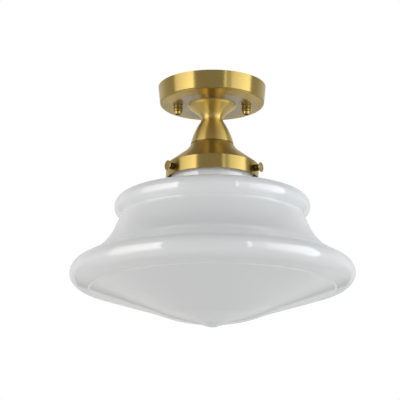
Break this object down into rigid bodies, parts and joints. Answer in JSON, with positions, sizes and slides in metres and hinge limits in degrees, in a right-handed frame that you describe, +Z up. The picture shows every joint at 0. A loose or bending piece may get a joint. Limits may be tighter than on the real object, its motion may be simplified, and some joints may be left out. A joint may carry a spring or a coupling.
{
  "type": "semi flush ceiling light",
  "caption": "Semi flush ceiling light with a round satin brass canopy, a waisted stem, a shade holder with thumb screws and a stepped opal glass shade.",
  "frame": {"origin": "centre of the ceiling plane, where the mounting plate's upper face and the canopy's rim meet the ceiling", "axes": "+Z up into the ceiling; the two canopy nuts lie on the X axis; the pictured side faces -Y"},
  "size_m": [0.3124, 0.3124, 0.2737],
  "materials": {
    "satin_brass": "satin, turned, clear lacquered",
    "zinc_steel": "zinc plated",
    "green_steel": "green passivated earth screw",
    "copper": "bare copper wire",
    "black_plastic": "moulded nylon",
    "nylon": "natural nylon",
    "opal_glass": "glossy cased opal white",
    "porcelain": "white glazed porcelain",
    "nickel_brass": "nickel plated",
    "solder": "tinned contact",
    "black_glass": "black vitrite insulator",
    "white_plastic": "moulded lamp housing",
    "board_aluminium": "white coated board",
    "frosted_plastic": "frosted diffuser",
    "black_lead": "insulated lead",
    "white_lead": "insulated lead",
    "orange_plastic": "twist-on connector"
  },
  "bodies": {
    "fixture": {"mounting_plate": "zinc_steel", "canopy_studs": "zinc_steel", "stud_lock_nuts": "zinc_steel", "earth_screw": "green_steel", "earth_wire": "copper", "canopy": "satin_brass", "stem_pipe": "zinc_steel", "canopy_lock_nut": "zinc_steel", "canopy_lock_washer": "zinc_steel", "pipe_bushing": "black_plastic", "upper_stem": "satin_brass", "lower_stem": "satin_brass", "shade_holder": "satin_brass", "holder_lock_nut": "zinc_steel", "holder_lock_washer": "zinc_steel", "screw_bosses": "satin_brass", "glass_shade": "opal_glass", "socket_strap": "zinc_steel", "strap_screws": "zinc_steel", "socket_body": "porcelain", "socket_shell": "nickel_brass", "socket_contact": "nickel_brass", "lead_black": "black_lead", "lead_white": "white_lead", "wire_connectors": "orange_plastic"},
    "canopy_nut_left_carrier": {"nut_washer_left": "satin_brass"},
    "canopy_nut_left": {"canopy_nut_left": "satin_brass"},
    "canopy_nut_right_carrier": {"nut_washer_right": "satin_brass"},
    "canopy_nut_right": {"canopy_nut_right": "satin_brass"},
    "shade_screw_left_carrier": {"screw_tip_left": "nylon"},
    "shade_screw_left": {"shade_screw_left": "satin_brass"},
    "shade_screw_right_carrier": {"screw_tip_right": "nylon"},
    "shade_screw_right": {"shade_screw_right": "satin_brass"},
    "shade_screw_back_carrier": {"screw_tip_back": "nylon"},
    "shade_screw_back": {"shade_screw_back": "satin_brass"},
    "lamp_carrier": {"lamp_contact": "solder"},
    "lamp": {"lamp_insulator": "black_glass", "lamp_base": "nickel_brass", "lamp_housing": "white_plastic", "lamp_board": "board_aluminium", "lamp_dome": "frosted_plastic"}
  },
  "joints": [
    {"name": "canopy_nut_left_travel", "type": "slide", "parent": "fixture", "child": "canopy_nut_left_carrier", "axis": [0, 0, -1], "range_m": [0, 0.0056]},
    {"name": "canopy_nut_left_turn", "type": "hinge", "parent": "canopy_nut_left_carrier", "child": "canopy_nut_left", "pos_m": [-0.0384, 0, -0.028], "axis": [0, 0, -1], "range_deg": [0, 2890]},
    {"name": "canopy_nut_right_travel", "type": "slide", "parent": "fixture", "child": "canopy_nut_right_carrier", "axis": [0, 0, -1], "range_m": [0, 0.0056]},
    {"name": "canopy_nut_right_turn", "type": "hinge", "parent": "canopy_nut_right_carrier", "child": "canopy_nut_right", "pos_m": [0.0384, 0, -0.028], "axis": [0, 0, -1], "range_deg": [0, 2890]},
    {"name": "shade_screw_left_travel", "type": "slide", "parent": "fixture", "child": "shade_screw_left_carrier", "axis": [-0.8271, -0.5621, 0], "range_m": [0, 0.0042]},
    {"name": "shade_screw_left_turn", "type": "hinge", "parent": "shade_screw_left_carrier", "child": "shade_screw_left", "pos_m": [-0.04549, -0.03091, -0.101], "axis": [-0.8271, -0.5621, 0], "range_deg": [0, 2170]},
    {"name": "shade_screw_right_travel", "type": "slide", "parent": "fixture", "child": "shade_screw_right_carrier", "axis": [0.9003, -0.4352, 0], "range_m": [0, 0.0042]},
    {"name": "shade_screw_right_turn", "type": "hinge", "parent": "shade_screw_right_carrier", "child": "shade_screw_right", "pos_m": [0.04952, -0.02394, -0.101], "axis": [0.9003, -0.4352, 0], "range_deg": [0, 2170]},
    {"name": "shade_screw_back_travel", "type": "slide", "parent": "fixture", "child": "shade_screw_back_carrier", "axis": [-0.0732, 0.9973, 0], "range_m": [0, 0.0042]},
    {"name": "shade_screw_back_turn", "type": "hinge", "parent": "shade_screw_back_carrier", "child": "shade_screw_back", "pos_m": [-0.00403, 0.05485, -0.101], "axis": [-0.0732, 0.9973, 0], "range_deg": [0, 2170]},
    {"name": "lamp_travel", "type": "slide", "parent": "fixture", "child": "lamp_carrier", "axis": [0, 0, -1], "range_m": [0, 0.01825]},
    {"name": "lamp_turn", "type": "hinge", "parent": "lamp_carrier", "child": "lamp", "pos_m": [0, 0, -0.11], "axis": [0, 0, -1], "range_deg": [0, 1800]}
  ],
  "couplings": [
    {"joint": "canopy_nut_left_turn", "follows": "canopy_nut_left_travel", "rad_per_m": 8976},
    {"joint": "canopy_nut_right_turn", "follows": "canopy_nut_right_travel", "rad_per_m": 8976},
    {"joint": "shade_screw_left_turn", "follows": "shade_screw_left_travel", "rad_per_m": 8976},
    {"joint": "shade_screw_right_turn", "follows": "shade_screw_right_travel", "rad_per_m": 8976},
    {"joint": "shade_screw_back_turn", "follows": "shade_screw_back_travel", "rad_per_m": 8976},
    {"joint": "lamp_travel", "follows": "lamp_turn", "m_per_rad": 0.00057773}
  ]
}
